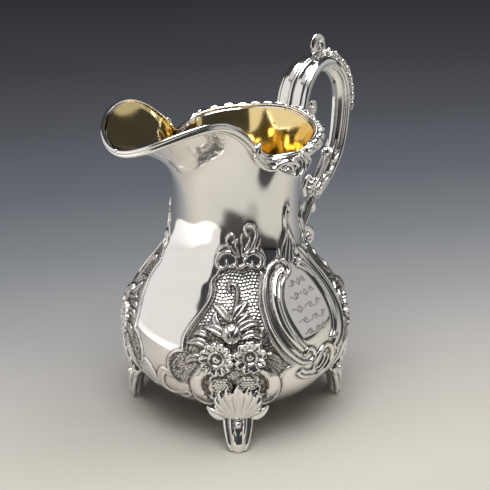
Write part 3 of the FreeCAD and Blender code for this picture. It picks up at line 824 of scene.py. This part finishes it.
# one side's scrolls and the shell that hangs at their end, then the lobed length behind it
SCROLLS = [
    ([(57.6, 2, -1.2), (56.8, 2, 1.2), (57.2, 1.6, 2.9), (58.6, 1.2, 2.6), (59.4, 1.4, 1.2), (61, 1.6, 0.4),
      (65, 1.4, 0.3), (70, 1.5, 0.2), (75.5, 1.6, 0.8), (81.5, 1.7, 1.4), (87, 1.8, 1.2), (92, 2, 0.5)],
      [0.7, 0.8, 0.85, 0.8, 0.7]),
    ([(60, 0.2, 1.6), (66, 0.2, 1.2), (74, 0.3, 1.6), (82, 0.4, 2.2), (90, 0.6, 2), (98, 0.8, 1.4),
      (107, 0.6, 1.6)], 0.75),
    ([(58.5, 2, -2.3), (62.3, 2.1, -2.7), (68.4, 2.2, -3), (73.4, 2.3, -2.9), (77.2, 2.5, -2.3),
      (80, 2.8, -0.6), (84.3, 3, 0.3), (88.8, 3.2, -0.2), (92, 3.4, -1.8), (93, 3.6, -3.6)],
      [0.8, 0.95, 0.95, 0.9, 0.85, 0.7]),
    ([(58.4, 0.9, -0.8), (70, 1.1, -1.4), (80, 1.3, -1)], 1.25),
    ([(75.4, 2.6, -2.9), (79.5, 3, -2.7), (81.5, 3.3, -3.4), (84.3, 3.7, -4.3), (87.3, 4.2, -5.4),
      (89.6, 4.5, -6.3)], [0.4, 0.6, 0.7, 0.6]),
    ([(81.8, 2.9, -2.2), (83.8, 2.9, -1.1), (87.1, 3, -1.2), (88.8, 3.2, -2.6), (89.8, 3.8, -4.4)], 0.6),
    ([(83.5, 3.3, -3.1), (85.8, 3.6, -3.8), (87.1, 3.9, -4.6)], 0.55),
    ([(90.5, 2.6, 0.6), (92, 3.2, -1.2), (91.4, 3.8, -3.4), (89.4, 4.4, -5.4)], 0.6),
    ([(93.1, 2.2, 0.8), (94.8, 2.9, -1.1), (94, 3.8, -3.1), (91.2, 4.4, -4.9), (89.2, 4.7, -6)],
      [0.5, 0.85, 0.8, 0.5]),
    ([(95.6, 2.2, 0.6), (97.4, 3, -1.8), (96.6, 4, -4), (94, 4.7, -5.6), (91.2, 4.9, -6.4)],
      [0.5, 0.85, 0.85, 0.5]),
    ([(98.4, 2.2, 0.2), (100.2, 3.1, -2.3), (100, 3.9, -4.2), (97.6, 4.5, -5.5)], [0.6, 0.85, 0.8, 0.5]),
    ([(101.5, 2.4, -0.8), (103.2, 3.2, -2.8), (102.2, 3.9, -4.3)], [0.7, 0.8, 0.5]),
    ([(98.7, 1.9, 1.2), (102.2, 2.4, -0.4), (107, 2.6, -0.7), (110.2, 2.6, 0.2), (109.6, 2.4, 1.5),
      (106.4, 2.2, 2), (104.2, 2.3, 1.2), (105.4, 2.8, 0.5)], [0.7, 0.9, 1, 0.9, 0.8, 0.6]),
    ([(82, 1.3, -0.9), (92, 1.7, -1.8), (100, 1.7, -1.7), (107, 1.3, -0.9)], 1.7),
    ([(85.5, 2.2, -3.4), (93, 2.6, -4), (100, 2.4, -3.3)], 1.35),
]
LOBED_PSI = (113.6, 123.2, 132.8)
BACK_LOBES = (142.4, 152, 161.6, 171.2)


def lobe(casting, psi, size, turn):
    line = [(-5.4, 0.5, 1), (-3, 1.5, 2.1), (1, 2.2, 1.9), (4.4, 2.6, 0.2), (4, 2.4, -1.8), (0.4, 2, -2.3)]
    border_strand(casting, [(psi + p, outward * size, upward * size) for p, outward, upward in line],
                  np.multiply([0.7, 1.1, 1.3, 1.2, 0.9, 0.5], size), turn)
    border_strand(casting, [(psi - 3.4, 1.4, 0), (psi - 0.4, 2, -0.2), (psi + 2, 2.1, -1)],
                  [0.5, 0.8, 0.5], turn)


for turn, name in ((1, "right"), (-1, "left")):
    scroll, shell = Casting(), Casting()
    for points, radii in SCROLLS:
        border_strand(scroll, points, radii, turn)
    for psi in LOBED_PSI:
        lobe(shell, psi, 1.08, turn)
    border_strand(shell, [(psi, 0.9, -0.3) for psi in np.linspace(107, 140, 12)], 1.6, turn)
    border_strand(shell, [(psi, 0.2, 1.4) for psi in np.linspace(107, 140, 12)], 0.9, turn)
    scroll.build("rim_scrollwork_" + name, "rim_scroll_" + name)
    shell.build("rim_shellwork_" + name, "rim_shell_" + name)
back = Casting()
border_strand(back, [(psi, 0.8, -0.1) for psi in np.linspace(139.5, 220.5, 24)], 1.35)
border_strand(back, [(psi, 0.1, 1.3) for psi in np.linspace(140, 220, 24)], 0.8)
for turn in (1, -1):
    for psi in BACK_LOBES:
        lobe(back, psi, 0.92, turn)
back.build("rim_backwork", "rim_back_scroll")


# ---- handle
def in_plane(stations, y=0, shift=0):
    """Points in the handle's plane, moved sideways by y and away from the handle's gap by shift."""
    line = np.array(stations, float)
    forward = unit(np.gradient(line, axis=0))
    away = np.stack([-forward[:, 1], forward[:, 0]], -1)
    line = line + away * np.asarray(shift, float).reshape(-1, 1)
    return np.stack([line[:, 0], np.broadcast_to(y, len(line)), line[:, 1]], -1)


UPPER = [(33.4, 119.6), (35.4, 124.6), (37.2, 131), (40.4, 136.4), (45.4, 140), (51.6, 141.2), (57, 139.9),
         (61.2, 137.2)]
upper = Casting()
for s in (1, -1):
    upper.strand(in_plane(UPPER, s * np.array([3.3, 3.5, 3.5, 3.4, 3.2, 2.8, 2.5, 2.2])),
                 [2.9, 3.15, 3.15, 3, 2.8, 2.5, 2.2], [3.3, 3.9, 4, 3.9, 3.6, 3.2, 2.6])
    upper.strand(in_plane(UPPER[:-2], s * np.array([6, 6.3, 6.2, 5.9, 5.2, 4.2]), 1.3),
                 [0.8, 0.9, 0.8, 0.5], [1.6, 1.9, 1.5, 0.7])
    ear = [(36.4, 4.2, 118.8), (34.8, 6.6, 120.8), (34.6, 7.4, 123.4), (35.8, 6.4, 125.2)]
    upper.strand(np.multiply(ear, (1, s, 1)), [1.3, 1.2, 1, 0.6])
for shift in (-1.9, 2.5):
    upper.strand(in_plane(UPPER[:-2], 0, shift), [0.8, 0.9, 0.8])
upper.build("handle_reeded_arm", "handle_upper_arm", COARSE)

curl = Casting()
CURL = [(51.6, 137.6), (47.6, 134.6), (44.8, 130.2), (43.3, 125.6), (43.8, 121.6), (45, 119.6), (47, 118.9),
        (48.9, 120.3), (48.8, 122.5), (47, 122.8)]
curl.strand(in_plane(CURL), [1.9, 2.2, 2.3, 2.3, 2.3, 1.8], [1, 1.2, 1.2, 1.2, 1.3, 1.1])
curl.bead((47.2, 0, 121.3), (1.3, 2.5, 1.3))
curl.build("handle_curl", "handle_inner_curl", MEDIUM)

BACK = [(51.6, 141.2), (59.4, 138.4), (65, 132.8), (67.4, 126.4), (68, 119.8), (67.6, 112.9), (66.6, 105.6),
        (64.6, 98.8), (60.8, 92.2), (55.2, 86), (49.4, 81)]


def on_arm(points, y):
    """Points (station number, shift away from the gap) on the back arm, moved sideways by y."""
    line, count = smooth_line(np.array(BACK), 10), np.arange((len(BACK) - 1) * 10 + 1) / 10
    forward = unit(np.gradient(line, axis=0))
    placed = []
    for t, shift in points:
        x, z, fx, fz = (np.interp(t, count, column) for column in (*line.T, *forward.T))
        placed.append((x - fz * shift, y, z + fx * shift))
    return np.array(placed)


arm = Casting()
arm.strand(in_plane(BACK, 0, -0.8), [3.3, 3.5, 3.6, 3.5, 3.3, 2.9, 2.2], [2.8, 3.2, 3.4, 3.3, 3, 2.6, 1.9])
arm.strand(in_plane(BACK, 0, 2.5), [1.9, 2.1, 2.1, 2, 1.8, 1.4], [1.6, 1.8, 1.8, 1.7, 1.5, 1.1])
for s in (1, -1):
    arm.strand(in_plane(BACK, s * 2.9, 1.2), [1.15, 1.3, 1.35, 1.25, 1.1, 0.8])
    arm.strand(in_plane(BACK[:8], s * 3.5, -0.6), [0.55, 0.7, 0.65, 0.4])
    for t in (7.25, 7.95, 8.65, 9.3):
        hook = [(t - 0.35, 1.5), (t + 0.05, 0.4), (t + 0.45, -0.8), (t + 0.45, -2), (t + 0.1, -2.3),
                (t - 0.05, -1.3)]
        arm.strand(on_arm(hook, s * 2.9), [0.4, 0.7, 0.8, 0.7, 0.6, 0.4])
        arm.strand(on_arm([(t - 0.1, 1.3), (t + 0.35, 0.5), (t + 0.7, -0.4)], s * 3.1), [0.3, 0.55, 0.3])
    arm.strand(on_arm([(6.4, -2.6), (7.2, -2.9), (8.4, -2.6), (9.6, -1.8)], s * 2.2), [0.6, 0.9, 0.9, 0.7])
arm.build("handle_arm", "handle_back_arm", COARSE)

strip = Casting()
STRIP = [(53.6, 145.4), (57.8, 144.8), (61.8, 142.9), (66, 139.9), (69.4, 136.2), (71.6, 131.9),
         (72.9, 127.6), (73.6, 123.2), (73.5, 118.8), (72.4, 114)]
strip.strand(in_plane(STRIP, 0, -0.9), [1.4, 2.4, 2.8, 2.5, 1], [0.8, 1.1, 1.1, 0.7])
strip_line = in_plane(STRIP)
strip_forward = unit(np.gradient(strip_line, axis=0))
for k in range(1, 9):
    here, forward, sway = strip_line[k], strip_forward[k], (-1) ** k
    out = np.array([-forward[2], 0, forward[0]])
    strip.flower(here + [0, 0.5 * sway, 0], out + [0, 0.2 * sway, 0], (2.6, 2.1)[k % 2], 5, 0.7 * k)
    for s in (1, -1):
        base = here + [0, s * 2.6, 0] - out * 0.9
        tip = base + forward * 2.6 + [0, s * 0.9, 0] - out * 0.6
        strip.strand([base - forward * 1.2, base + [0, s * 0.5, 0], tip], [0.6, 1.25, 0.4], [0.5, 0.8, 0.4],
                     unit(out + [0, 1.2 * s, 0]))
strip.build("handle_flowers", "handle_flower_strip", smooth=1)

thumb = Casting()
RING = [(51.6, 144.2), (49.2, 146.2), (48.7, 149), (50.2, 151.1), (52.4, 151), (54, 149), (53.7, 146.2),
        (51.6, 144.2)]
thumb.strand(in_plane(RING), [1.7, 2.4, 2.3, 1.4, 2.2, 1.7], [0.95, 1.05, 1.05, 0.9, 1.05, 1])
thumb.bead((51.4, 0, 146.4), (1.5, 1.3, 1.7))
thumb.strand(in_plane([(48.8, 143.8), (51.4, 144.6), (54.2, 144)]), [2.6, 2.9, 2.4], [1, 1.3, 1])
thumb.build("handle_bud", "handle_thumb_bud")

knop = Casting()
knop.bead((58.5, 0, 98.8), 2.5)
knop.strand([(61, -2.2, 97.8), (60.3, 0, 98.6), (61, 2.2, 97.8)], 0.9)
knop.bead((56.3, 0, 99.1), 0.7)
knop.build("handle_knop", "handle_inner_knop")

leafage = Casting()
KNOBS = [(49.6, 87.6, 1.5), (47.6, 86.4, 1.6), (46.4, 84.2, 1.6), (46.8, 81.9, 1.4), (48.6, 84.8, 1.8)]
for x, z, r in KNOBS:
    for s in (1, -1):
        leafage.bead((x, s * 1.3, z), (r, r * 0.95, r * 1.1))
leafage.strand(in_plane([(48.4, 89.2), (46, 87.6), (45, 84.6), (45.8, 81.4)]), [2.2, 2.4, 1.8],
               [0.7, 0.9, 0.8])
leafage.build("handle_leafage", "handle_lower_leaf", MEDIUM, smooth=4)

low = Casting()
LOW = [(49.8, 80), (47, 76.6), (45.2, 73), (42.8, 69.4), (39, 66.8), (34.6, 65.8)]
low.strand(in_plane(LOW), [2.1, 2.1, 1.9, 2.1, 2.7], [1.6, 1.5, 1.35, 1.4, 1.7])
for s in (1, -1):
    low.strand(in_plane(LOW, s * 1.9, 0.3), [0.7, 0.75, 0.6])
low.strand(in_plane([(46.4, 76.4), (48.4, 76.9), (50.3, 75.9), (50.9, 74), (49.9, 72.9)]),
           [1.5, 1.7, 1.9, 1.9, 1.6], [1.1, 1.1, 1.2, 1.2, 1])
low.build("handle_foot_scroll", "handle_lower_scroll")

tail = Casting()
TAIL_LINE = [(42.4, 68.4), (44.6, 66.2), (47.4, 64.8), (49.6, 63.2), (50.4, 60.8), (49.4, 58.6), (47.6, 58)]
tail.strand(in_plane(TAIL_LINE), [1.6, 1.8, 1.8, 1.7, 1.4], [1, 1.15, 1.15, 1.1, 0.9])
tail.strand(in_plane([(41.6, 67.6), (43, 63.6), (45.2, 60.4), (47.4, 58.6)]), [1.4, 1.5, 1.3, 1.1],
            [1, 1.1, 1, 0.8])
tail.build("handle_tail", "handle_tail_curl")

drop = Casting()
drop.bead((47.4, 0, 61.6), (1.9, 2.1, 1.9))
drop.bead((49, 0, 60.9), (1.3, 1.6, 1.3))
drop.build("handle_bead", "handle_tail_bead")


# ---- feet
# a lobe of the palmette is a line of (distance from the axis, sideways, height) with its half widths
PALMETTE = [
    ([(44.2, 0, 12.2), (45.9, 0, 17), (47.3, 0, 23), (48.3, 0, 27.5), (48.4, 0, 30.4)],
      [1.4, 2, 2.6, 2, 0.6]),
    ([(44.2, 0.6, 12.4), (45.8, 1.8, 17), (47.1, 3.1, 22.5), (47.9, 4, 26.6), (47.8, 4.3, 29)],
      [1.2, 1.7, 1.9, 1.6, 0.6]),
    ([(44.2, 1, 12.6), (45.4, 3.2, 17), (46.5, 5.3, 21.6), (47, 6.8, 25), (46.8, 7.3, 27.2)],
      [1.2, 1.7, 1.9, 1.6, 0.6]),
    ([(44, 1.4, 12.8), (44.9, 4.2, 16.2), (45.4, 6.6, 19.2), (45.3, 8.2, 21.6), (44.9, 8.8, 23.4)],
      [1.2, 1.6, 1.8, 1.5, 0.6]),
    ([(43.9, 1.8, 13.2), (44.4, 4.6, 15.2), (44.4, 7, 16.8), (43.8, 9.2, 18.6)], [1.1, 1.5, 1.5, 0.6]),
]
# on each side of the leg: a leaf that lies back, then its edge, the outer rib, the inner rib and a vein
LEG_LEAVES = [
    ([(42.6, 4, 13.4), (43.6, 7, 14), (43.2, 9.8, 15.2), (42, 12.3, 17)], [1.4, 2.1, 1.8, 0.6],
      [0.8, 0.9, 0.8, 0.5]),
]
LEG_RIBS = [
    ([(43.6, 4.8, 15.4), (44.6, 7.6, 16), (43.4, 10.4, 16.9), (42, 12.4, 17.6)], [0.5, 0.65, 0.6, 0.4]),
    ([(41.4, 4.6, 14.6), (43.4, 4.9, 11), (44.4, 4.4, 7), (44.9, 3.7, 3.6), (44.8, 2.7, 1)],
      [1.2, 1.25, 1.1, 1, 0.9]),
    ([(44.2, 2.7, 14.2), (45.9, 2.7, 11), (46.4, 2.4, 7.6), (46.3, 1.9, 4.8)], [0.9, 0.9, 0.8, 0.4]),
    ([(44.9, 1.2, 12.6), (46.4, 1.1, 9.6), (46.7, 0.6, 7)], [0.5, 0.5, 0.3]),
]
# the leg's own stations: distance from the axis, height, half width and half thickness
LEG = [(39, 17.5, 5.6, 3.2), (41.8, 13.5, 5.5, 3.4), (43.4, 9, 4.9, 3.2), (43.9, 5.2, 4.3, 3.2),
       (44, 2.4, 3.9, 3.2), (43.8, 0.7, 3.2, 2.8)]


def make_foot(name, azimuth, node, splay):
    """A cast foot; splay moves the toe further out."""
    a = math.radians(azimuth)
    turn = np.array([[math.cos(a), math.sin(a), 0], [-math.sin(a), math.cos(a), 0], [0, 0, 1]])
    cast = Casting()

    def local(points):
        points = np.array(points, float)
        points[:, 0] += splay * np.clip((12.0 - points[:, 2]) / 12, 0, 1)
        return points @ turn

    outward = np.array([1, 0, 0]) @ turn
    for s in (1, -1):
        for line, width in PALMETTE if s == 1 else PALMETTE[1:]:
            placed = local([(r, s * y, z) for r, y, z in line])
            cast.strand(placed, width, [0.9, 1, 1, 0.9, 0.5], outward)
            cast.strand(placed[1:-1] + outward, [0.3, 0.5, 0.3])
        for line, width, thick in LEG_LEAVES:
            cast.strand(local([(r, s * y, z) for r, y, z in line]), width, thick, outward)
        for line, width in LEG_RIBS:
            cast.strand(local([(r, s * y, z) for r, y, z in line]), width)
    leg = np.array(LEG)
    cast.strand(local([(r, 0, z) for r, z in leg[:, :2]]), leg[:, 2] * 0.86, leg[:, 3], outward)
    cast.bead(local([(46.2, 0, 11.6)])[0], (1.5, 1.5, 1.5))
    cast.bead(local([(44.2, 0, 3.2)])[0], (3.2, 3.2, 3))
    cast.build(name, node, COARSE, flat_floor=True)


for azimuth, corner, splay in ((45, "back_right", 0), (135, "front_right", 0), (225, "front_left", 3.5),
                               (315, "back_left", 0)):
    make_foot("leaf_foot_" + corner, azimuth, "foot_" + corner, splay)

# ---- camera, stage and light
TARGET = Vector((0, 0, 0.0706))
VIEW_AZIMUTH, VIEW_ELEVATION, VIEW_DISTANCE = math.radians(-45 - 1.34), math.radians(22.37), 0.46
level = Vector((math.sin(VIEW_AZIMUTH), -math.cos(VIEW_AZIMUTH), 0))
eye = TARGET + (level * math.cos(VIEW_ELEVATION) + Vector((0, 0, math.sin(VIEW_ELEVATION)))) * VIEW_DISTANCE
camera = new_object("camera", bpy.data.cameras.new("camera"))
camera.data.sensor_width = 36.0
camera.data.lens = 80.0
camera.data.shift_x = 0.0196
camera.data.shift_y = 0.0014
camera.data.clip_start = 0.01
camera.location = eye
camera.rotation_euler = (TARGET - eye).to_track_quat("-Z", "Y").to_euler()
bpy.context.scene.camera = camera

# The floor is pale under the jug and darkens behind it, along a line turned a little from the view. Well in
# front of the jug it is dark as well, which the neck reflects. STOPS are places along that line and colours.
FLOOR_TURN, FLOOR_HALF, FLOOR_SPAN = math.radians(13.0), 8.0, (-0.45, 1.05)
STOPS = [(0.0, (0.03, 0.027, 0.025)), (0.09, (0.035, 0.032, 0.03)), (0.13, (0.5, 0.48, 0.437)),
         (0.252, (0.525, 0.503, 0.447)), (0.281, (0.479, 0.45, 0.4)), (0.317, (0.4, 0.384, 0.367)),
         (0.36, (0.277, 0.279, 0.282)), (0.415, (0.171, 0.181, 0.196)), (0.487, (0.104, 0.114, 0.13)),
         (0.586, (0.07, 0.075, 0.089)), (0.729, (0.048, 0.05, 0.06)), (1.0, (0.039, 0.039, 0.047))]
floor_mesh = bpy.data.meshes.new("floor")
floor_mesh.from_pydata([(x * FLOOR_HALF, y * FLOOR_HALF, 0) for x, y in ((-1, -1), (1, -1), (1, 1), (-1, 1))],
                       [], [(0, 1, 2, 3)])
floor = new_object("floor", floor_mesh)
paper = bpy.data.materials.new("paper")
paper.use_nodes = True
nodes, links = paper.node_tree.nodes, paper.node_tree.links
paper_shader = nodes["Principled BSDF"]
paper_shader.inputs["Roughness"].default_value = 0.7
coords = nodes.new("ShaderNodeTexCoord")
along = nodes.new("ShaderNodeVectorMath")
along.operation = "DOT_PRODUCT"
links.new(coords.outputs["Object"], along.inputs[0])
across = Vector((-level.y, level.x, 0))
along.inputs[1].default_value = -level * math.cos(FLOOR_TURN) - across * math.sin(FLOOR_TURN)
ramp_range = nodes.new("ShaderNodeMapRange")
ramp_range.inputs["From Min"].default_value, ramp_range.inputs["From Max"].default_value = FLOOR_SPAN
links.new(along.outputs["Value"], ramp_range.inputs["Value"])
ramp = nodes.new("ShaderNodeValToRGB")
links.new(ramp_range.outputs["Result"], ramp.inputs["Fac"])
links.new(ramp.outputs["Color"], paper_shader.inputs["Base Color"])
elements = ramp.color_ramp.elements
elements[0].position, elements[0].color = STOPS[0][0], (*STOPS[0][1], 1)
elements[1].position, elements[1].color = STOPS[-1][0], (*STOPS[-1][1], 1)
for position, colour in STOPS[1:-1]:
    elements.new(position).color = (*colour, 1)
floor_mesh.materials.append(paper)


def softbox(name, azimuth, elevation, distance, width, height, strength, colour=(1, 1, 1), mirrored=False):
    """A glowing rectangle aimed at the jug; a mirrored one is seen only in reflections."""
    light = bpy.data.lights.new(name, "AREA")
    light.shape = "RECTANGLE"
    light.size, light.size_y = width, height
    light.energy = strength
    light.color = colour
    box = new_object(name, light)
    a, e = math.radians(azimuth), math.radians(elevation)
    towards = Vector((math.cos(a) * math.cos(e), math.sin(a) * math.cos(e), math.sin(e)))
    box.location = TARGET + towards * distance
    box.rotation_euler = (TARGET - box.location).to_track_quat("-Z", "Y").to_euler()
    box.visible_camera = False
    box.visible_diffuse = not mirrored
    return box


def leaning_panel(name, azimuth, near, far, top, width, strength, colour):
    """A glowing panel that leans away from the jug, seen only in its reflections."""
    panel = softbox(name, azimuth, 0, 1, width, math.hypot(far - near, top), strength, colour, True)
    a = math.radians(azimuth)
    away = Vector((math.cos(a), math.sin(a), 0))
    panel.location = away * (near + far) / 2 + Vector((0, 0, top / 2))
    panel.rotation_euler = (Vector((0, 0, far - near)) - away * top).to_track_quat("-Z", "Y").to_euler()


leaning_panel("key", 144, 0.23, 0.46, 0.50, 0.72, 0.96, (1.0, 0.955, 0.93))
softbox("crown", 170, 62, 0.6, 0.6, 0.35, 0.38, (1.0, 0.98, 0.95), True)
softbox("fill", 320, 20, 1.3, 1.5, 1.0, 2.1, (1.0, 0.98, 0.94))
softbox("top", 226, 80, 1.2, 1.1, 1.1, 24)

world = bpy.data.worlds.new("studio")
bpy.context.scene.world = world
world.use_nodes = True
world.node_tree.nodes["Background"].inputs["Color"].default_value = (0.10, 0.105, 0.115, 1)
world.node_tree.nodes["Background"].inputs["Strength"].default_value = 0.45
bpy.context.scene.view_settings.view_transform = "Standard"
